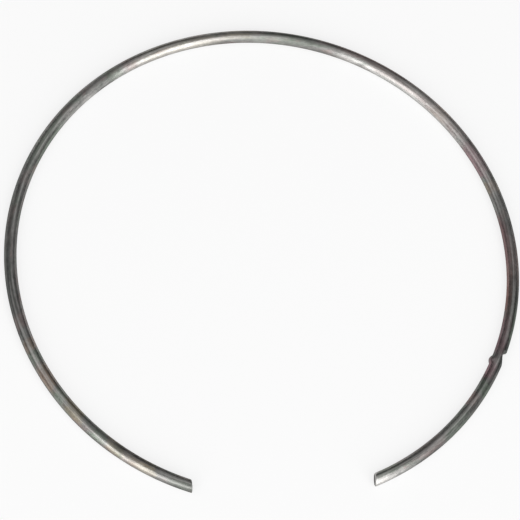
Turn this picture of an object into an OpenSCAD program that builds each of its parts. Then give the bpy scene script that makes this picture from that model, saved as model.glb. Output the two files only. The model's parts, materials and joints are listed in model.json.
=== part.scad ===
// Retaining ring of round spring wire, for a groove in a bore.
// The ring lies flat: its axis is Z, its centre is the origin, and Z = 0 is the middle of the wire.
// The gap opens towards -Y, and its two sides are parallel.

/* [Ring] */
// Outside diameter of the relaxed ring
ring_outer_d = 132; // [110:1:150]
// Diameter of the drawn wire
wire_d = 3.2; // [2.6:0.1:4]

/* [Gap] */
// Clear width between the two cut ends
gap_w = 46; // [30:0.5:60]
// Edge break round each cut face, measured in from the side of the wire
end_break = 0.15; // [0.05:0.05:0.4]

/* [Dent] */
// Place of the dent's shoulder on the outside of the ring, in degrees from +X towards the gap
dent_place = 24.3; // [15:0.1:35]
// Depth of the dent's level floor below the outside of the wire
dent_depth = 0.8; // [0.4:0.05:1.1]
// Length of the level floor, from the shoulder
dent_flat = 1.6; // [1:0.1:1.9]
// Length of the whole dent along the wire, with the ramp that runs out from its floor
dent_l = 3.7; // [2.4:0.1:6]
// How far the shoulder leans along the wire, in degrees
dent_lean = 5; // [0:1:40]
// How far the metal is pushed out on the inside, across from the dent
bulge_h = 0.5; // [0.2:0.05:0.8]
// Radius of the pushed-out bulge
bulge_r = 1.45; // [1:0.05:1.6]
// Distance along the wire from the shoulder to the middle of the bulge
bulge_shift = 3.2; // [1:0.1:4]

/* [Hidden] */
$fn = 180;
wire_fn = 64;
wire_r = wire_d / 2;
outer_r = ring_outer_d / 2;
ring_r = outer_r - wire_r;

// The middle of the right-hand cut end
end_x = gap_w / 2;
end_y = -sqrt(pow(ring_r, 2) - pow(end_x, 2));

// A length along the wire, as an angle round the ring
function wire_angle(length) = length / ring_r * 180 / PI;

// The wire, bent into a full circle
module wire_circle()
    rotate_extrude()
        translate([ring_r, 0])
            circle(d = wire_d, $fn = wire_fn);

// What is cut out between the two ends
module gap_cut()
    translate([-end_x, -ring_outer_d, -wire_d])
        cube([gap_w, ring_outer_d, 2 * wire_d]);

// A conical cut that takes the sharp edge off the right-hand end
module end_bevel() {
    face_r = wire_r - end_break;
    reach = wire_r / 2;
    translate([end_x, end_y, 0])
        rotate([0, 90, 0])
            rotate_extrude($fn = wire_fn)
                polygon([
                    [face_r - end_break, -end_break],
                    [face_r + reach, reach],
                    [face_r + reach, -end_break]
                ]);
}

// A point beside the wire: its radius, and its length along the wire from +X
function beside(radius, length) = radius * [cos(wire_angle(length)), -sin(wire_angle(length))];

// The dent's shoulder, level floor and ramp, with the shoulder's edge on +X
module dent_cut() {
    shoulder = [outer_r, 0];
    bottom = [outer_r - dent_depth, -dent_depth * tan(dent_lean)];
    floor_end = beside(outer_r - dent_depth, dent_flat);
    run_out = beside(outer_r, dent_l);
    top = 2 * shoulder - bottom;
    ramp_top = 2 * run_out - floor_end;
    translate([0, 0, -wire_d])
        linear_extrude(2 * wire_d)
            polygon([
                bottom,
                top,
                [outer_r + wire_d, top[1]],
                [outer_r + wire_d, ramp_top[1]],
                ramp_top,
                floor_end
            ]);
}

// The metal pushed out on the inside, in the same frame as the dent
module bulge()
    rotate([0, 0, -wire_angle(bulge_shift)])
        translate([ring_r - wire_r - bulge_h + bulge_r, 0, 0])
            sphere(bulge_r, $fn = wire_fn);

module retaining_ring()
    color("dimgray")
        difference() {
            union() {
                wire_circle();
                rotate([0, 0, -dent_place]) bulge();
            }
            rotate([0, 0, -dent_place]) dent_cut();
            gap_cut();
            for (side = [0, 1])
                mirror([side, 0, 0])
                    end_bevel();
        }

retaining_ring();
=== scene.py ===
import json
import math
import bpy
import numpy as np
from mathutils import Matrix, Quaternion, Vector


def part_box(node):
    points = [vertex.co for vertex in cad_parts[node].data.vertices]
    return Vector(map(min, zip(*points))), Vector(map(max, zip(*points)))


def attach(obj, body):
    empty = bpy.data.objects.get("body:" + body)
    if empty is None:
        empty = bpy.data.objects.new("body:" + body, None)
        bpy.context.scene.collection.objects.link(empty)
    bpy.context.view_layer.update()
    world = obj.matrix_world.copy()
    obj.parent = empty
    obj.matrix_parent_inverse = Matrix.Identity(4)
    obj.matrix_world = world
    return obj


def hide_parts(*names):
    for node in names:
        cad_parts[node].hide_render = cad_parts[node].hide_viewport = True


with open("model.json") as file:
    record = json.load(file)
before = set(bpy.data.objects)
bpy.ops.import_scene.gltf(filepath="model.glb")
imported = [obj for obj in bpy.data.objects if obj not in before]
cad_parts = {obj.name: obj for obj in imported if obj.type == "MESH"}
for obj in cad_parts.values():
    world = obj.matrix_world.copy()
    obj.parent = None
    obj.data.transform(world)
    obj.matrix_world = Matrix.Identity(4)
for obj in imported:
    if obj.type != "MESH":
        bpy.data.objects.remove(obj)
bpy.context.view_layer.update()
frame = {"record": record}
print("frame loaded")

scene = bpy.context.scene
scene.view_settings.view_transform = "Standard"
mm = 0.001

# sizes read from the frame
ringLow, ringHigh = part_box("retaining_ring")
mountAt = {mount["name"]: mount["pos_m"] for mount in frame["record"]["mounts"]}
wireRadius = (ringHigh.z - ringLow.z) / 2
outerRadius = (ringHigh.x - ringLow.x) / 2
ringRadius = outerRadius - wireRadius
gapHalf = mountAt["end_face_right"][0]
restHeight = ringLow.z


# Camera

cameraValues = {
    "azimuth": -19.92,      # degrees round the ring from straight in front
    "elevation": 64.79,
    "roll": 16.63,
    "distance": 1.0,
    "lens": 272.1,
    "sensor": 36,
    "clip": (0.05, 20),
    "aim": (-0.855 * mm, 0.511 * mm),   # across and up, from the ring's centre
}


def makeCamera(values):
    azimuth = math.radians(values["azimuth"])
    elevation = math.radians(values["elevation"])
    back = Vector((
        math.sin(azimuth) * math.cos(elevation),
        -math.cos(azimuth) * math.cos(elevation),
        math.sin(elevation),
    ))
    turn = (-back).to_track_quat("-Z", "Y")
    turn = turn @ Quaternion((0, 0, 1), math.radians(values["roll"]))
    data = bpy.data.cameras.new("photoCamera")
    data.lens = values["lens"]
    data.sensor_width = values["sensor"]
    data.clip_start, data.clip_end = values["clip"]
    camera = bpy.data.objects.new("photoCamera", data)
    camera.rotation_mode = "QUATERNION"
    camera.rotation_quaternion = turn
    across, up = values["aim"]
    camera.location = back * values["distance"] + turn @ Vector((across, up, 0))
    scene.collection.objects.link(camera)
    scene.camera = camera


makeCamera(cameraValues)
print("camera placed")


# Sums in node trees, written as they are read

class Field:
    def __init__(self, tree, socket):
        self.tree = tree
        self.socket = socket

    def __add__(self, other):
        return maths(self.tree, "ADD", self, other)

    def __sub__(self, other):
        return maths(self.tree, "SUBTRACT", self, other)

    def __mul__(self, other):
        return maths(self.tree, "MULTIPLY", self, other)

    def __truediv__(self, other):
        return maths(self.tree, "DIVIDE", self, other)

    def __radd__(self, other):
        return maths(self.tree, "ADD", other, self)

    def __rsub__(self, other):
        return maths(self.tree, "SUBTRACT", other, self)

    def __rmul__(self, other):
        return maths(self.tree, "MULTIPLY", other, self)


def plug(tree, socket, value):
    if isinstance(value, Field):
        tree.links.new(value.socket, socket)
    else:
        socket.default_value = value


def maths(tree, operation, *values, clamp=False):
    node = tree.nodes.new("ShaderNodeMath")
    node.operation = operation
    node.use_clamp = clamp
    for socket, value in zip(node.inputs, values):
        plug(tree, socket, value)
    return Field(tree, node.outputs[0])


def vectorOf(tree, x, y, z):
    node = tree.nodes.new("ShaderNodeCombineXYZ")
    for socket, value in zip(node.inputs, (x, y, z)):
        plug(tree, socket, value)
    return Field(tree, node.outputs[0])


def noiseOf(tree, vector, scale, detail, rough):
    node = tree.nodes.new("ShaderNodeTexNoise")
    node.noise_dimensions = "3D"
    plug(tree, node.inputs["Vector"], vector)
    plug(tree, node.inputs["Scale"], scale)
    plug(tree, node.inputs["Detail"], detail)
    plug(tree, node.inputs["Roughness"], rough)
    return Field(tree, node.outputs["Fac"])


def rangeOf(tree, value, low, high, toLow=0.0, toHigh=1.0, smooth=False):
    node = tree.nodes.new("ShaderNodeMapRange")
    if smooth:
        node.interpolation_type = "SMOOTHSTEP"
    names = ("Value", "From Min", "From Max", "To Min", "To Max")
    for name, given in zip(names, (value, low, high, toLow, toHigh)):
        plug(tree, node.inputs[name], given)
    return Field(tree, node.outputs["Result"])


def blendOf(tree, share, first, second):
    return first + (second - first) * share


# The bent wire: a grid of rows along the wire and columns round it, set on the ring

wireValues = {
    "Ring Radius": ringRadius,
    "Wire Radius": wireRadius,
    "Gap Half": gapHalf,
    "Edge Break": 0.24 * mm,
    "Rows": 1400,
    "Sides": 60,
    "Face Rings": 12,
    "Edge Rows": 4,
    # the dent and the bulge have the solid's own sizes, with their corners softened
    "Dent Place": math.radians(90 - 24.3),    # from the middle of the gap to the shoulder
    "Dent Depth": 0.8 * mm,
    "Dent Flat": 1.6 * mm,
    "Dent Length": 3.7 * mm,
    "Dent Lean": math.radians(5),
    "Dent Softness": 0.07 * mm,
    "Floor Softness": 0.25 * mm,
    "Bulge Height": 0.5 * mm,
    "Bulge Radius": 1.45 * mm,
    "Bulge Shift": 3.2 * mm,
    "Bulge Softness": 0.42 * mm,
    "Crowding": 0.82,                         # share of the rows' spacing taken out at the dent
    "Crowd Length": 4.0 * mm,
    "Wall Crowding": 0.88,                    # and again at its shoulder
    "Wall Length": 0.3 * mm,
    "Dent Mask Depth": 0.12 * mm,             # how deep the wire is dented where it counts as dent
    "Bulge Side Start": 0.35,                 # the bulge stays on the inside of the wire, between
    "Bulge Side Full": -0.1,                  # these two places across it, as shares of its radius
    "Unevenness": 0.012 * mm,                 # how far the wire is under its size, on average
    "Uneven Scale": 60.0,                     # uneven stretches to a metre
    "Uneven Round": 0.5,                      # and to a radius, round the wire
    "Uneven Start": 4.0 * mm,                 # from the right-hand end to full unevenness
    "Shear Depth": 0.06 * mm,
    "Tear Depth": 0.05 * mm,
    "Tear Scale": 1.6,
    "Tear Across": 3.0,                       # how much finer the tear is across the cut face
    "Tear Down": 2.0,                         # and down it
    "Tear Start": 0.02,                       # where the torn part starts and is full, down the
    "Tear Full": 0.42,                        # cut face from its middle, in wire radii
    "Tear Wander": 0.5,                       # how ragged its edge is
    "Tear Rim": 0.985,                        # the torn part fades in from here to here, as shares
    "Tear Rim Full": 0.84,                    # of the radius, less the broken edge
    "Right Tear Lean": 0.45,                  # sideways for each radius down
    "Left Tear Lean": -0.6,
    "Weld Distance": 0.001 * mm,
}


def wireTree(values, wireMaterial, faceMaterial):
    tree = bpy.data.node_groups.new("bentWire", "GeometryNodeTree")
    face = tree.interface
    face.new_socket("Geometry", in_out="OUTPUT", socket_type="NodeSocketGeometry")
    for name, value in values.items():
        kind = "NodeSocketInt" if isinstance(value, int) else "NodeSocketFloat"
        face.new_socket(name, in_out="INPUT", socket_type=kind)
    for name in ("Wire Material", "Face Material"):
        face.new_socket(name, in_out="INPUT", socket_type="NodeSocketMaterial")
    source = tree.nodes.new("NodeGroupInput")
    given = {name: Field(tree, source.outputs[name]) for name in values}

    def step(operation, *terms, clamp=False):
        return maths(tree, operation, *terms, clamp=clamp)

    def store(geometry, name, kind, value):
        node = tree.nodes.new("GeometryNodeStoreNamedAttribute")
        node.data_type = kind
        node.domain = "POINT"
        node.inputs["Name"].default_value = name
        tree.links.new(geometry, node.inputs["Geometry"])
        tree.links.new(value.socket, node.inputs["Value"])
        return node.outputs["Geometry"]

    ring, wire = given["Ring Radius"], given["Wire Radius"]
    gap, edge = given["Gap Half"], given["Edge Break"]
    columns = given["Sides"] + 1

    grid = tree.nodes.new("GeometryNodeMeshGrid")
    plug(tree, grid.inputs["Vertices X"], given["Rows"])
    plug(tree, grid.inputs["Vertices Y"], columns)
    index = Field(tree, tree.nodes.new("GeometryNodeInputIndex").outputs[0])
    row = step("FLOOR", (index + 0.5) / columns)
    column = index - row * columns

    # round the wire, from the underside
    around = column / given["Sides"] * (2 * math.pi) - math.pi / 2
    sideways, upward = step("COSINE", around), step("SINE", around)

    # from each end: rings of the cut face, then the rows of its broken edge
    lastRow = given["Rows"] - 1
    fromEnd = step("MINIMUM", row, lastRow - row)
    onFace = step("DIVIDE", fromEnd, given["Face Rings"], clamp=True)
    roll = step("DIVIDE", fromEnd - given["Face Rings"], given["Edge Rows"], clamp=True)
    roll = roll * (math.pi / 2)
    size = (wire - edge + edge * step("SINE", roll)) / wire * onFace
    inset = edge - edge * step("COSINE", roll)

    # along the wire, with the rows crowded at the dent
    endRows = given["Face Rings"] + given["Edge Rows"]
    share = step("DIVIDE", row - endRows, lastRow - 2 * endRows, clamp=True)
    endAngle = step("ARCSINE", gap / ring)
    turn = 2 * math.pi - 2 * endAngle
    length = ring * turn
    reach = given["Crowding"] * given["Crowd Length"]
    wallReach = given["Wall Crowding"] * given["Wall Length"]
    shoulderAt = ring * (given["Dent Place"] - endAngle)
    dentMiddle = shoulderAt - given["Dent Length"] / 2
    spare = reach + wallReach
    spread = blendOf(tree, share, 0 - spare, length + spare)
    near = spread - reach * step("TANH", (spread - dentMiddle) / given["Crowd Length"])
    along = near - wallReach * step("TANH", (near - shoulderAt) / given["Wall Length"])
    along = step("MINIMUM", step("MAXIMUM", along, 0.0), length)

    # the wire is never perfectly round or even, and is nowhere over its size
    twist = given["Uneven Round"]
    place = vectorOf(tree, along * given["Uneven Scale"], sideways * twist, upward * twist)
    uneven = noiseOf(tree, place, 1.0, 2.0, 0.5)
    started = step("DIVIDE", along, given["Uneven Start"], clamp=True)
    thin = 1 - given["Unevenness"] / wire * uneven * 2 * started
    across = wire * size * sideways * thin
    height = wire * size * upward * thin

    # the cut face: a smooth sheared part, a step, and torn metal below it
    faceX, faceY = size * sideways, size * upward
    flip = step("GREATER_THAN", row, lastRow / 2)
    lean = blendOf(tree, flip, given["Right Tear Lean"], given["Left Tear Lean"])
    down = 0 - faceY - faceX * lean
    apart = flip * 7 + 1.3      # the two faces take their noise from different depths
    tearPlace = vectorOf(tree, faceX * given["Tear Across"], faceY * given["Tear Down"], apart)
    tearNoise = noiseOf(tree, tearPlace, given["Tear Scale"], 4.0, 0.6)
    tearEdge = down + tearNoise * given["Tear Wander"]
    torn = rangeOf(tree, tearEdge, given["Tear Start"], given["Tear Full"], smooth=True)
    rim, rimFull = given["Tear Rim"] - edge / wire, given["Tear Rim Full"] - edge / wire
    inside = rangeOf(tree, size, rim, rimFull)
    cutDepth = (given["Shear Depth"] * torn + given["Tear Depth"] * torn * tearNoise) * inside
    endX = gap + inset + cutDepth

    # set it on the ring, its two ends cut parallel to the gap's middle
    fromCentre = ring + across
    startAngle = step("ARCSINE", endX / fromCentre)
    angle = startAngle + (2 * math.pi - 2 * startAngle) * along / length

    # the dent, in a frame whose x axis passes through its shoulder
    toShoulder = given["Dent Place"] - angle
    x = fromCentre * step("COSINE", toShoulder)
    y = 0 - fromCentre * step("SINE", toShoulder)
    outer = ring + wire
    bottomX = outer - given["Dent Depth"]
    bottomY = 0 - given["Dent Depth"] * step("TANGENT", given["Dent Lean"])
    flatAngle, runAngle = given["Dent Flat"] / ring, given["Dent Length"] / ring
    flatX, flatY = bottomX * step("COSINE", flatAngle), 0 - bottomX * step("SINE", flatAngle)
    runX, runY = outer * step("COSINE", runAngle), 0 - outer * step("SINE", runAngle)
    levelX = bottomX + (y - bottomY) * (flatX - bottomX) / (flatY - bottomY)
    rampX = flatX + (y - flatY) * (runX - flatX) / (runY - flatY)
    floorX = step("SMOOTH_MAX", levelX, rampX, given["Floor Softness"])
    shoulderX = outer + y / step("TANGENT", given["Dent Lean"])
    wall = step("SMOOTH_MAX", floorX, shoulderX, given["Dent Softness"])
    dented = step("SMOOTH_MIN", x, wall, given["Dent Softness"])
    dentMask = rangeOf(tree, x - dented, 0.0, given["Dent Mask Depth"], smooth=True)

    # the metal pushed out on the inside
    bulgeAngle = given["Bulge Shift"] / ring
    bulgeAt = ring - wire - given["Bulge Height"] + given["Bulge Radius"]
    awayX = dented - bulgeAt * step("COSINE", bulgeAngle)
    awayY = y + bulgeAt * step("SINE", bulgeAngle)
    away = step("SQRT", awayX * awayX + awayY * awayY + height * height)
    pushed = step("SMOOTH_MAX", away, given["Bulge Radius"], given["Bulge Softness"]) / away
    inward = rangeOf(tree, sideways, given["Bulge Side Start"], given["Bulge Side Full"],
                     smooth=True)
    pushed = 1 + (pushed - 1) * inward
    x = bulgeAt * step("COSINE", bulgeAngle) + awayX * pushed
    y = awayY * pushed - bulgeAt * step("SINE", bulgeAngle)
    z = height * pushed

    shoulderSin = step("SINE", given["Dent Place"])
    shoulderCos = step("COSINE", given["Dent Place"])
    worldX = x * shoulderSin + y * shoulderCos
    worldY = y * shoulderSin - x * shoulderCos

    # what the materials read: millimetres along, across and up, and where the cuts and dent are
    faceMask = step("LESS_THAN", fromEnd, given["Face Rings"] + 0.5)
    toMm = 1 / mm
    wireCoord = vectorOf(tree, along * toMm, across * toMm, height * toMm)
    shape = store(grid.outputs["Mesh"], "wireCoord", "FLOAT_VECTOR", wireCoord)
    shape = store(shape, "faceMask", "FLOAT", faceMask)
    shape = store(shape, "tornMask", "FLOAT", torn * faceMask)
    shape = store(shape, "dentMask", "FLOAT", dentMask)

    setPlace = tree.nodes.new("GeometryNodeSetPosition")
    tree.links.new(shape, setPlace.inputs["Geometry"])
    plug(tree, setPlace.inputs["Position"], vectorOf(tree, worldX, worldY, z))
    merge = tree.nodes.new("GeometryNodeMergeByDistance")
    plug(tree, merge.inputs["Distance"], given["Weld Distance"])
    tree.links.new(setPlace.outputs[0], merge.inputs[0])
    smooth = tree.nodes.new("GeometryNodeSetShadeSmooth")
    tree.links.new(merge.outputs[0], smooth.inputs[0])
    realize = tree.nodes.new("GeometryNodeRealizeInstances")
    tree.links.new(smooth.outputs[0], realize.inputs[0])

    setWire = tree.nodes.new("GeometryNodeSetMaterial")
    tree.links.new(realize.outputs[0], setWire.inputs["Geometry"])
    tree.links.new(source.outputs["Wire Material"], setWire.inputs["Material"])
    setFace = tree.nodes.new("GeometryNodeSetMaterial")
    tree.links.new(setWire.outputs[0], setFace.inputs["Geometry"])
    tree.links.new(source.outputs["Face Material"], setFace.inputs["Material"])
    mask = tree.nodes.new("GeometryNodeInputNamedAttribute")
    mask.data_type = "FLOAT"
    mask.inputs["Name"].default_value = "faceMask"
    cut = step("GREATER_THAN", Field(tree, mask.outputs["Attribute"]), 0.9)
    tree.links.new(cut.socket, setFace.inputs["Selection"])
    sink = tree.nodes.new("NodeGroupOutput")
    tree.links.new(setFace.outputs[0], sink.inputs[0])

    asked = dict(values)
    asked["Wire Material"] = wireMaterial
    asked["Face Material"] = faceMaterial
    return tree, asked


def makeFromTree(name, tree, asked):
    carrier = bpy.data.objects.new("carrier", bpy.data.meshes.new("carrier"))
    scene.collection.objects.link(carrier)
    modifier = carrier.modifiers.new("bentWire", "NODES")
    modifier.node_group = tree
    for item in tree.interface.items_tree:
        if item.item_type == "SOCKET" and item.in_out == "INPUT":
            modifier[item.identifier] = asked[item.name]
    graph = bpy.context.evaluated_depsgraph_get()
    mesh = bpy.data.meshes.new_from_object(carrier.evaluated_get(graph))
    mesh.name = name
    # the carrier's own empty slot comes first
    if mesh.materials[0] is None:
        mesh.materials.pop(index=0)
    carrier.modifiers.remove(modifier)
    bpy.data.objects.remove(carrier)
    piece = bpy.data.objects.new(name, mesh)
    scene.collection.objects.link(piece)
    return piece


# A map of the wire: cut into equal strips, laid side by side, with its two cut faces next to them

mapValues = {
    "strips": 6,
    "margin": 0.35,         # between strips, in mm
    "endZone": 0.001,       # how near to a cut, in mm, counts as on its broken edge
    "wire": wireRadius / mm,
    "edge": wireValues["Edge Break"] / mm,
}


def layMap(mesh, values):
    def read(items, name, kind, width=1):
        found = np.empty(len(items) * width, kind)
        items.foreach_get(name, found)
        return found

    count = read(mesh.polygons, "loop_total", np.int32)
    slot = read(mesh.polygons, "material_index", np.int32)
    corner = read(mesh.loops, "vertex_index", np.int32)
    coord = read(mesh.attributes["wireCoord"].data, "vector", np.float32, 3)
    along, across, height = coord.reshape(-1, 3)[corner].astype(float).T
    face = np.repeat(np.arange(len(count)), count)
    cut = slot[face] == 1

    def middle(value):
        return (np.bincount(face, value) / count)[face]

    # the broken edges lie at one place along the wire, so their arc is added there
    wire, edge, margin = values["wire"], values["edge"], values["margin"]
    length = along.max()
    lost = np.clip((wire - np.hypot(across, height)) / edge, 0, 1)
    arc = edge * np.arccos(1 - lost)
    nearEnd = values["endZone"]
    place = along - arc * (along < nearEnd) + arc * (along > length - nearEnd)

    # turns round the wire, from its underside
    def turnOf(x, y):
        return (np.arctan2(y, x) / (2 * math.pi) + 0.25) % 1

    faceTurn = turnOf(middle(across), middle(height))
    turn = faceTurn + (turnOf(across, height) - faceTurn + 0.5) % 1 - 0.5
    step = length / values["strips"]
    strip = np.clip(np.floor(middle(along) / step), 0, values["strips"] - 1)
    tall = 2 * math.pi * wire + margin
    last = middle(along) > length / 2
    arcRoom = 1.5 * edge
    u = np.where(cut, step + 2 * edge + 2 * margin + wire + np.where(last, 0 - across, across),
                 place - strip * step + arcRoom + margin)
    v = np.where(cut, margin + wire + height + last * (2 * wire + margin),
                 margin + strip * tall + turn * 2 * math.pi * wire)
    side = max(u.max(), v.max()) + margin
    layer = mesh.uv_layers.new(name="OFBake")
    layer.uv.foreach_set("vector", np.stack([u, v], 1).ravel() / side)
    print("map laid:", round(side, 1), "mm a side")


# Shader groups

def newGroup(name, inputs, outputs):
    tree = bpy.data.node_groups.new(name, "ShaderNodeTree")
    kinds = {"vector": "NodeSocketVector", "value": "NodeSocketFloat"}
    for label, kind in inputs.items():
        tree.interface.new_socket(label, in_out="INPUT", socket_type=kinds[kind])
    for label, kind in outputs.items():
        tree.interface.new_socket(label, in_out="OUTPUT", socket_type=kinds[kind])
    source = tree.nodes.new("NodeGroupInput")
    sink = tree.nodes.new("NodeGroupOutput")
    given = {label: Field(tree, source.outputs[label]) for label in inputs}
    return tree, given, sink


def vectorStep(tree, operation, first, second):
    node = tree.nodes.new("ShaderNodeVectorMath")
    node.operation = operation
    plug(tree, node.inputs[0], first)
    plug(tree, node.inputs[1], second)
    return Field(tree, node.outputs[0])


def mixColour(tree, share, first, second):
    # a Mix node's sockets 6 and 7 and its output 2 are the ones for colours
    node = tree.nodes.new("ShaderNodeMix")
    node.data_type = "RGBA"
    plug(tree, node.inputs[0], share)
    plug(tree, node.inputs[6], first)
    plug(tree, node.inputs[7], second)
    return Field(tree, node.outputs[2])


grainValues = {
    "roughness": 0.62,
    "line": (0.56, 0.68),       # where the grain starts to be a scored line, and where it is one
}


def grainGroup(values):
    # fine lines pulled along one direction, by a drawing die or a shear blade
    inputs = {"Vector": "vector", "Along": "value", "Across": "value", "Detail": "value"}
    tree, given, sink = newGroup("pulledGrain", inputs, {"Grain": "value", "Line": "value"})
    scale = vectorOf(tree, given["Along"], given["Across"], given["Across"])
    place = vectorStep(tree, "MULTIPLY", given["Vector"], scale)
    grain = noiseOf(tree, place, 1.0, given["Detail"], values["roughness"])
    plug(tree, sink.inputs["Grain"], grain)
    plug(tree, sink.inputs["Line"], rangeOf(tree, grain, *values["line"], smooth=True))
    return tree


speckValues = {
    "stretch": (0.7, 1.0, 1.0),     # pits are a little longer than wide
    "rarest": 0.78,                 # noise over this is a pit where the amount is none
    "spread": 0.2,                  # how far the amount lowers that
    "softness": 0.07,
    "mottle": 0.31,                 # fineness of the mottle, as a share of the pits'
    "pitNoise": (3.0, 0.55),        # detail and roughness
    "mottleNoise": (4.0, 0.6),
}


def speckGroup(values):
    # small pits and freckles, about the given number to a millimetre
    inputs = {"Vector": "vector", "Fineness": "value", "Amount": "value"}
    tree, given, sink = newGroup("fineSpecks", inputs, {"Speck": "value", "Mottle": "value"})
    place = vectorStep(tree, "MULTIPLY", given["Vector"], vectorOf(tree, *values["stretch"]))
    speck = noiseOf(tree, place, given["Fineness"], *values["pitNoise"])
    low = values["rarest"] - given["Amount"] * values["spread"]
    high = low + values["softness"]
    mottle = noiseOf(tree, place, given["Fineness"] * values["mottle"], *values["mottleNoise"])
    plug(tree, sink.inputs["Speck"], rangeOf(tree, speck, low, high, smooth=True))
    plug(tree, sink.inputs["Mottle"], mottle)
    return tree


stainAndLightValues = {
    "grain": (0.45, 0.9, 0.9),      # ragged bits to a millimetre, along and across the wire
    "noise": (4.0, 0.6),            # detail and roughness
    "endWander": 1.6,               # how ragged a patch is at its ends
    "sideWander": 1.8,              # and on its two sides
    "endFade": (1.05, 0.45),        # where it fades out along the wire, in half lengths
    "sideFade": 0.9,                # how softly it fades out round the wire
}


def stainAndLightGroup(values):
    # one ragged patch, for stains and for painted highlights and shade: its middle and half length
    # along the wire in mm, and the side it lies on
    inputs = {"Vector": "vector", "Place": "value", "Reach": "value", "Side Y": "value",
              "Side Z": "value", "Hold": "value"}
    tree, given, sink = newGroup("stainAndLightPatch", inputs, {"Patch": "value"})
    parts = tree.nodes.new("ShaderNodeSeparateXYZ")
    plug(tree, parts.inputs[0], given["Vector"])
    along, across, height = (Field(tree, parts.outputs[axis]) for axis in "XYZ")
    off = maths(tree, "ABSOLUTE", along - given["Place"]) / given["Reach"]
    facing = across * given["Side Y"] + height * given["Side Z"]
    place = vectorStep(tree, "MULTIPLY", given["Vector"], vectorOf(tree, *values["grain"]))
    ragged = noiseOf(tree, place, 1.0, *values["noise"]) - 0.5
    near = rangeOf(tree, off + ragged * values["endWander"], *values["endFade"], smooth=True)
    hold, full = given["Hold"], given["Hold"] + values["sideFade"]
    held = rangeOf(tree, facing + ragged * values["sideWander"], hold, full, smooth=True)
    plug(tree, sink.inputs["Patch"], near * held)
    return tree


def placeGroup(tree, group, **values):
    # an underscore stands for the space in a socket's name
    node = tree.nodes.new("ShaderNodeGroup")
    node.node_tree = group
    for label, value in values.items():
        plug(tree, node.inputs[label.replace("_", " ")], value)
    return {socket.name: Field(tree, socket) for socket in node.outputs}


def newMaterial(name):
    material = bpy.data.materials.new(name)
    material.use_nodes = True
    tree = material.node_tree
    shader = next(node for node in tree.nodes if node.type == "BSDF_PRINCIPLED")
    return material, tree, shader


def attributeOf(tree, name, output="Vector"):
    node = tree.nodes.new("ShaderNodeAttribute")
    node.attribute_name = name
    return Field(tree, node.outputs[output])


def bumpInto(tree, shader, height, distance):
    node = tree.nodes.new("ShaderNodeBump")
    node.inputs["Strength"].default_value = 1.0
    node.inputs["Distance"].default_value = distance
    plug(tree, node.inputs["Height"], height)
    tree.links.new(node.outputs["Normal"], shader.inputs["Normal"])


# colours, and the scales and shares of what lies on them
wireLook = {
    # bright steel: rubbed steel, and painted highlights and painted reflections
    "bareAndSheen": (0.64, 0.63, 0.61, 1),
    "oxide": (0.3, 0.294, 0.283, 1),
    "warm": (0.34, 0.262, 0.252, 1),
    "cool": (0.252, 0.291, 0.252, 1),
    "rust": (0.29, 0.155, 0.14, 1),
    "straw": (0.38, 0.325, 0.215, 1),
    "amber": (0.42, 0.31, 0.235, 1),
    "violet": (0.38, 0.255, 0.275, 1),
    "plum": (0.26, 0.14, 0.165, 1),
    "green": (0.22, 0.29, 0.22, 1),
    # dark grey: soot, and painted shade
    "sootAndShade": (0.125, 0.13, 0.125, 1),
    "stain": (0.12, 0.095, 0.08, 1),
    "metallic": 1.0,
    "edgeTint": 0.35,
    "drawnLines": {"Along": 0.07, "Across": 8.5, "Detail": 5.0},    # to a millimetre
    "streaks": {"Along": 0.035, "Across": 1.5, "Detail": 3.0},
    "pitting": {"Fineness": 5.5, "Amount": 0.35},
    "pitShare": 0.7,
    "tintScale": (0.21, 0.5, 0.5),
    "tintNoise": (3.0, 0.55),           # detail and roughness
    "coolShift": (31.7, 4.1, 9.3),      # sets the cool tints apart from the warm ones
    "warmRange": (0.5, 0.66),
    "warmShare": 0.6,
    "coolRange": (0.5, 0.68),
    "coolShare": 0.7,
    "crownSheen": (0.9, 1.5),                # mm above or below the wire's middle where rubbing and painted sheen start, and are full
    "rubAndSheenRange": (0.42, 0.62),
    "rubAndSheenShare": 0.6,
    "dentRub": 0.12,
    "endWearAndGlint": 0.6,                     # mm from the right-hand end, worn bright: wear and a painted highlight on its broken edge
    "stainAndLightHold": 0.1,                   # mm from the wire's middle to where a patch starts
    "cloudScale": (0.25, 0.6, 0.6),
    "cloudNoise": (3.0, 0.6),
    "tone": {"streaks": 0.24, "lines": 0.16, "mottle": 0.64, "cloud": 0.8},
    "rough": {"base": 0.235, "mottle": 0.18, "cloud": 0.08, "warm": 0.05, "pits": 0.2, "rub": 0.05},
    "relief": {"streaks": 0.6, "pits": 0.8, "scores": 0.3, "height": 0.012 * mm},
}
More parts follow.
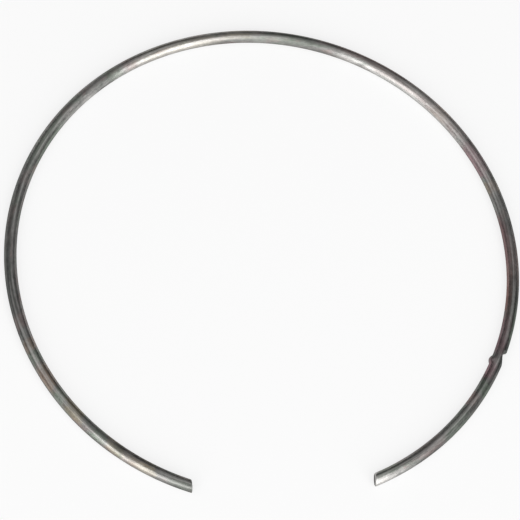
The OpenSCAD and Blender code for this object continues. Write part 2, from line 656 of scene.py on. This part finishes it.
# each stain: colour, degrees round the ring from +X, half length in mm, side of the wire, strength
# bare patches are painted highlights and reflections, partly rubbed steel; soot patches are painted
# shade, partly soot
stainsAndLight = [
    ("bareAndSheen", 45, 24, (-1.6, -0.5), 0.9),
    ("bareAndSheen", 111, 20, (-1.6, -0.5), 0.8),
    ("bareAndSheen", 134, 12, (-1.4, -0.3), 0.7),
    ("bareAndSheen", -66, 9, (1.5, -1.3), 0.9),
    ("bareAndSheen", -69, 4, (0.6, 0.9), 0.4),
    ("bareAndSheen", 64, 5, (-1.4, 0.3), 0.5),
    ("bareAndSheen", 236, 6, (1.3, 0.7), 0.45),
    ("bareAndSheen", 85, 9, (-1.5, -0.6), 0.25),
    ("sootAndShade", -8, 38, (1.0, 0.2), 0.65),
    ("sootAndShade", 174, 30, (1.0, 0.3), 0.6),
    ("sootAndShade", -22, 36, (0.1, 1.0), 0.6),
    ("sootAndShade", -57, 9, (0.4, 0.9), 0.45),
    ("sootAndShade", -28, 13, (0.1, 1.0), 0.55),
    ("sootAndShade", 3, 8, (0.1, 1.0), 0.35),
    ("sootAndShade", 49, 13, (0.7, 1.0), 0.2),
    ("sootAndShade", 190, 12, (0.8, 0.7), 0.65),
    ("sootAndShade", 222, 27, (-0.4, 0.8), 0.35),
    ("sootAndShade", 240, 9, (-0.6, 0.7), 0.4),
    ("sootAndShade", 247, 5, (0.4, 0.9), 0.35),
    ("sootAndShade", -53, 9, (-0.1, 1.0), 0.3),
    ("oxide", 95, 10, (-0.1, 1.0), 0.5),
    ("oxide", -38, 5, (-1.0, 0.4), 0.8),
    ("oxide", -34, 6, (1.1, 0.3), 0.6),
    ("rust", -5, 18, (-0.85, 0.05), 0.8),
    ("rust", -39, 2.6, (-0.8, 0.6), 0.4),
    ("green", -66, 4, (-0.8, 0.6), 0.45),
    ("green", -46, 6, (0.6, 0.8), 0.45),
    ("green", -35, 2.5, (0.4, 0.9), 0.5),
    ("green", -17, 6, (0.9, 0.4), 0.4),
    ("green", 79, 8, (0.1, 1.0), 0.3),
    ("green", 123, 3, (-0.2, 1.0), 0.4),
    ("green", 147, 12, (-0.6, 0.7), 0.4),
    ("green", 202.5, 2.4, (0.1, 1.0), 0.45),
    ("green", 213, 2.6, (0.1, 1.0), 0.4),
    ("green", 226, 2.4, (0.1, 1.0), 0.35),
    ("green", 247, 4.5, (0.1, 1.0), 0.15),
    ("violet", -30, 3.4, (-0.8, 0.6), 0.7),
    ("violet", -20, 5.5, (-0.8, 0.7), 0.7),
    ("violet", 25, 7, (-0.6, 0.8), 0.7),
    ("violet", 237, 3, (-0.9, 0.4), 0.5),
    ("warm", -54, 5, (-0.2, 1.0), 0.5),
    ("warm", -2, 10, (-0.1, 1.0), 0.5),
    ("warm", 38, 8, (-0.2, 0.9), 0.65),
    ("warm", 50, 14, (0.2, 1.0), 0.45),
    ("warm", 60, 10, (0.9, 0.5), 0.85),
    ("warm", 118.5, 2.4, (-0.2, 1.0), 0.5),
    ("warm", 193.5, 2.8, (0.1, 1.0), 0.6),
    ("warm", 234, 3, (0.3, 1.0), 0.35),
    ("amber", 17, 2.4, (-0.4, 0.9), 0.4),
    ("amber", 39, 3, (-0.2, 1.0), 0.4),
    ("amber", 199.5, 2.2, (0.1, 1.0), 0.5),
    ("amber", 208, 4.4, (0.1, 1.0), 0.55),
    ("straw", 91, 5, (0.5, 0.9), 0.35),
    ("straw", 106, 15, (-0.4, 0.9), 0.22),
    ("straw", 218, 4, (0.1, 1.0), 0.5),
    ("straw", 230.5, 3, (0.2, 1.0), 0.4),
    ("straw", 237, 5, (0.4, 0.9), 0.35),
    ("straw", 239, 2.4, (-0.9, 0.5), 0.5),
]
# films of oil tint, painted shade partly from soot, and one painted highlight partly a worn spot,
# given in the same way, that lie over the rubbed streaks
filmsAndLight = [
    ("sootAndShade", -22, 8, (-0.6, 0.8), 0.35),
    ("plum", -21, 8, (-0.6, 0.8), 0.15),
    ("plum", -24, 2.6, (-0.7, 0.7), 0.4),
    ("plum", -31, 3, (-0.9, 0.5), 0.35),
    ("plum", 3, 9, (-0.9, 0.1), 0.35),
    ("sootAndShade", -11, 9, (0.35, 1.0), 0.4),
    ("sootAndShade", -45, 5, (-0.1, 1.0), 0.15),
    ("sootAndShade", -55, 5, (-0.6, 0.8), 0.35),
    ("sootAndShade", 7, 14, (-1.2, 0.4), 0.25),
    ("sootAndShade", 57, 9, (0.3, 1.0), 0.26),
    ("sootAndShade", 76, 24, (1.3, 0.2), 0.25),
    ("bareAndSheen", 39, 4.5, (-1.3, 0.1), 0.35),
    ("sootAndShade", 126.5, 3.5, (-1.4, -0.1), 0.4),
    ("sootAndShade", 176, 18, (-1.2, 0.3), 0.25),
    ("sootAndShade", 190, 24, (1.2, 0.2), 0.3),
    ("sootAndShade", 80, 10, (0.5, 0.9), 0.2),
    ("sootAndShade", 228, 6, (-0.6, 0.8), 0.2),
    ("sootAndShade", 233, 4.5, (-0.5, 0.9), 0.45),
    ("sootAndShade", 238.5, 6, (-1.1, 0.2), 0.7),
]
cutLook = {
    "bright": (0.15, 0.145, 0.14, 1),
    "torn": (0.06, 0.055, 0.05, 1),
    "metallic": 1.0,
    "bladeLines": {"Along": 0.5, "Across": 7.0, "Detail": 4.0},     # to a millimetre
    "lineLean": 0.4,
    "lineDepth": 3.0,               # depth in the noise that the lines are taken from
    "lineShare": 0.35,
    "pitting": {"Fineness": 7.0, "Amount": 0.9},
    "tone": {"torn": 0.85, "mottle": 0.3, "base": 0.1},
    "rough": {"base": 0.26, "torn": 0.24, "mottle": 0.1},
    "relief": {"smoothed": 0.6, "mottle": 2.2, "height": 0.02 * mm},
}


def wireSteel(look, stainsAndLight, filmsAndLight, grain, specks, stain):
    material, tree, shader = newMaterial("drawnSpringWire")
    coord = attributeOf(tree, "wireCoord")
    dent = attributeOf(tree, "dentMask", "Fac")
    parts = tree.nodes.new("ShaderNodeSeparateXYZ")
    plug(tree, parts.inputs[0], coord)
    along, height = Field(tree, parts.outputs["X"]), Field(tree, parts.outputs["Z"])

    def scaled(scale):
        return vectorStep(tree, "MULTIPLY", coord, vectorOf(tree, *scale))

    def stainedAndLit(colour, patches):
        endAngle = math.asin(gapHalf / ringRadius)
        for name, degrees, reach, side, strength in patches:
            place = (math.radians(degrees + 90) - endAngle) * ringRadius / mm
            patch = placeGroup(tree, stain, Vector=coord, Place=place, Reach=reach, Side_Y=side[0],
                               Side_Z=side[1], Hold=look["stainAndLightHold"])
            colour = mixColour(tree, patch["Patch"] * strength, colour, look[name])
        return colour

    fine = placeGroup(tree, grain, Vector=coord, **look["drawnLines"])
    broad = placeGroup(tree, grain, Vector=coord, **look["streaks"])
    spots = placeGroup(tree, specks, Vector=coord, **look["pitting"])

    # heat and oil tints lie in long patches
    drift = scaled(look["tintScale"])
    shifted = vectorStep(tree, "ADD", drift, vectorOf(tree, *look["coolShift"]))
    warmNoise = noiseOf(tree, drift, 1.0, *look["tintNoise"])
    coolNoise = noiseOf(tree, shifted, 1.0, *look["tintNoise"])
    warmth = rangeOf(tree, warmNoise, *look["warmRange"], smooth=True)
    coolness = rangeOf(tree, coolNoise, *look["coolRange"], smooth=True)
    colour = mixColour(tree, warmth * look["warmShare"], look["oxide"], look["warm"])
    colour = mixColour(tree, coolness * look["coolShare"], colour, look["cool"])
    # tints, painted highlights and painted shade, laid in patches
    colour = stainedAndLit(colour, stainsAndLight)

    # the top and bottom of the wire are rubbed brighter in streaks, partly wear and partly a painted
    # sheen
    crownSheen = rangeOf(tree, maths(tree, "ABSOLUTE", height), *look["crownSheen"], smooth=True)
    rubbedAndSheen = crownSheen * rangeOf(tree, broad["Grain"], *look["rubAndSheenRange"], smooth=True)
    rubbedAndSheen = maths(tree, "MAXIMUM", rubbedAndSheen * look["rubAndSheenShare"], dent * look["dentRub"])
    # painted highlight, partly wear: the right-hand end's last stretch mixes to bright steel
    endWearAndGlint = rangeOf(tree, along, look["endWearAndGlint"], 0.0)
    colour = mixColour(tree, maths(tree, "MAXIMUM", rubbedAndSheen, endWearAndGlint), colour, look["bareAndSheen"])
    colour = stainedAndLit(colour, filmsAndLight)

    # lines, streaks and clouds lighten and darken it all, and the pits are darkest
    cloud = noiseOf(tree, scaled(look["cloudScale"]), 1.0, *look["cloudNoise"])
    tone = look["tone"]
    shade = broad["Grain"] * tone["streaks"] + fine["Grain"] * tone["lines"]
    shade = shade + spots["Mottle"] * tone["mottle"]
    shade = shade + cloud * tone["cloud"]
    toned = tree.nodes.new("ShaderNodeVectorMath")
    toned.operation = "SCALE"
    plug(tree, toned.inputs[0], colour)
    plug(tree, toned.inputs["Scale"], shade)
    pits = spots["Speck"] * look["pitShare"]
    colour = mixColour(tree, pits, Field(tree, toned.outputs[0]), look["stain"])
    plug(tree, shader.inputs["Base Color"], colour)

    share = look["rough"]
    rough = share["base"] + spots["Mottle"] * share["mottle"] + cloud * share["cloud"]
    rough = rough + warmth * share["warm"]
    rough = rough + spots["Speck"] * share["pits"] - rubbedAndSheen * share["rub"]
    plug(tree, shader.inputs["Roughness"], rough)
    shader.inputs["Metallic"].default_value = look["metallic"]
    shader.inputs["Specular Tint"].default_value = (look["edgeTint"],) * 3 + (1,)
    relief = look["relief"]
    raised = fine["Grain"] + broad["Grain"] * relief["streaks"]
    raised = raised - spots["Speck"] * relief["pits"] + fine["Line"] * relief["scores"]
    bumpInto(tree, shader, raised, relief["height"])
    return material


def cutSteel(look, grain, specks):
    material, tree, shader = newMaterial("shearedFace")
    coord = attributeOf(tree, "wireCoord")
    torn = attributeOf(tree, "tornMask", "Fac")
    parts = tree.nodes.new("ShaderNodeSeparateXYZ")
    plug(tree, parts.inputs[0], coord)
    across, height = Field(tree, parts.outputs["Y"]), Field(tree, parts.outputs["Z"])
    pulled = vectorOf(tree, height + across * look["lineLean"], across, look["lineDepth"])
    drag = placeGroup(tree, grain, Vector=pulled, **look["bladeLines"])
    flat = vectorOf(tree, across, height, 1.0)
    spots = placeGroup(tree, specks, Vector=flat, **look["pitting"])
    tone, share, relief = look["tone"], look["rough"], look["relief"]
    shade = torn * tone["torn"] + spots["Mottle"] * tone["mottle"] - tone["base"]
    dark = maths(tree, "MULTIPLY", shade, 1.0, clamp=True)
    colour = mixColour(tree, dark, look["bright"], look["torn"])
    colour = mixColour(tree, drag["Line"] * look["lineShare"], colour, look["torn"])
    plug(tree, shader.inputs["Base Color"], colour)
    rough = share["base"] + torn * share["torn"] + spots["Mottle"] * share["mottle"]
    plug(tree, shader.inputs["Roughness"], rough)
    shader.inputs["Metallic"].default_value = look["metallic"]
    raised = drag["Grain"] * (1 - torn * relief["smoothed"])
    raised = raised + spots["Mottle"] * torn * relief["mottle"]
    bumpInto(tree, shader, raised, relief["height"])
    return material


grain = grainGroup(grainValues)
specks = speckGroup(speckValues)
# the patch group lays both stains and painted highlights and shade
stain = stainAndLightGroup(stainAndLightValues)
wireMaterial = wireSteel(wireLook, stainsAndLight, filmsAndLight, grain, specks, stain)
faceMaterial = cutSteel(cutLook, grain, specks)
tree, asked = wireTree(wireValues, wireMaterial, faceMaterial)
wire = makeFromTree("ringWire", tree, asked)
layMap(wire.data, mapValues)
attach(wire, "root")
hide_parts("retaining_ring")
print("wire bent:", len(wire.data.polygons), "faces")


# Floor, lamps and world

floorValues = {
    "halfSide": 3.0,
    "colour": 0.96,
    "glow": 0.75,       # how far the camera and mirrored rays see plain white
    "roughness": 0.2,
    "specular": 0.6,
}


def makeFloor(values):
    half = values["halfSide"]
    mesh = bpy.data.meshes.new("floor")
    corners = [(-half, -half), (half, -half), (half, half), (-half, half)]
    mesh.from_pydata([(x, y, restHeight) for x, y in corners], [], [(0, 1, 2, 3)])
    floor = bpy.data.objects.new("floor", mesh)
    scene.collection.objects.link(floor)
    material, tree, shader = newMaterial("paleFloor")
    shader.inputs["Base Color"].default_value = (values["colour"],) * 3 + (1,)
    shader.inputs["Roughness"].default_value = values["roughness"]
    shader.inputs["Specular IOR Level"].default_value = values["specular"]
    path = tree.nodes.new("ShaderNodeLightPath")
    seen = [Field(tree, path.outputs[name]) for name in
            ("Is Camera Ray", "Is Glossy Ray", "Is Transmission Ray")]
    share = maths(tree, "ADD", seen[0] + seen[1], seen[2], clamp=True) * values["glow"]
    white = tree.nodes.new("ShaderNodeEmission")
    white.inputs["Strength"].default_value = 1.0
    mix = tree.nodes.new("ShaderNodeMixShader")
    plug(tree, mix.inputs[0], share)
    tree.links.new(shader.outputs[0], mix.inputs[1])
    tree.links.new(white.outputs[0], mix.inputs[2])
    target = next(node for node in tree.nodes if node.type == "OUTPUT_MATERIAL")
    tree.links.new(mix.outputs[0], target.inputs["Surface"])
    mesh.materials.append(material)


lampValues = {
    "left": {"azimuth": -131, "elevation": 24, "distance": 2.5, "size": (1.35, 2.6), "power": 33},
    "right": {"azimuth": -57, "elevation": 32, "distance": 2.5, "size": (1.45, 3.3), "power": 46},
}
worldValues = {
    "side": 0.065,      # level above the backdrop
    "top": 0.42,        # level overhead
    "topStart": 0.42,   # where the level starts to change to the one overhead
    "backdrop": 0.085,  # height of the white backdrop, as a direction's z
    "backdropFade": 0.015,
    # soft patches of light: degrees round from +X, elevation, half width in degrees, level
    "patches": [(-96, 14, 46, 0.65), (-178, 45, 34, 0.55), (12, 75, 24, 0.4), (-105, 70, 40, 0.2)],
}


def makeLamp(name, values):
    azimuth = math.radians(values["azimuth"])
    elevation = math.radians(values["elevation"])
    out = Vector((
        math.cos(azimuth) * math.cos(elevation),
        math.sin(azimuth) * math.cos(elevation),
        math.sin(elevation),
    ))
    data = bpy.data.lights.new(name, "AREA")
    data.shape = "RECTANGLE"
    data.size, data.size_y = values["size"]
    data.energy = values["power"]
    lamp = bpy.data.objects.new(name, data)
    lamp.location = out * values["distance"]
    lamp.rotation_mode = "QUATERNION"
    lamp.rotation_quaternion = (-out).to_track_quat("-Z", "Y")
    scene.collection.objects.link(lamp)


def makeWorld(values):
    world = bpy.data.worlds.new("studio")
    world.use_nodes = True
    scene.world = world
    tree = world.node_tree
    background = next(node for node in tree.nodes if node.type == "BACKGROUND")
    coord = tree.nodes.new("ShaderNodeTexCoord")
    parts = tree.nodes.new("ShaderNodeSeparateXYZ")
    tree.links.new(coord.outputs["Generated"], parts.inputs[0])
    x, y, z = (Field(tree, parts.outputs[axis]) for axis in "XYZ")
    side, top = values["side"], values["top"]
    level = rangeOf(tree, z, values["topStart"], 1.0, side, top, smooth=True)
    for degrees, elevation, reach, strength in values["patches"]:
        aim, lift = math.radians(degrees), math.radians(elevation)
        flat = math.cos(lift)
        facing = x * math.cos(aim) * flat + y * math.sin(aim) * flat + z * math.sin(lift)
        edge = math.cos(math.radians(reach))
        level = level + rangeOf(tree, facing, edge, 1.0, 0.0, strength, smooth=True)
    white = values["backdrop"] - values["backdropFade"]
    backdrop = rangeOf(tree, z, values["backdrop"], white, smooth=True)
    plug(tree, background.inputs["Strength"], blendOf(tree, backdrop, level, 1.0))
    background.inputs["Color"].default_value = (1, 1, 1, 1)


makeFloor(floorValues)
for name, values in lampValues.items():
    makeLamp(name, values)
makeWorld(worldValues)
print("floor and lamps placed")
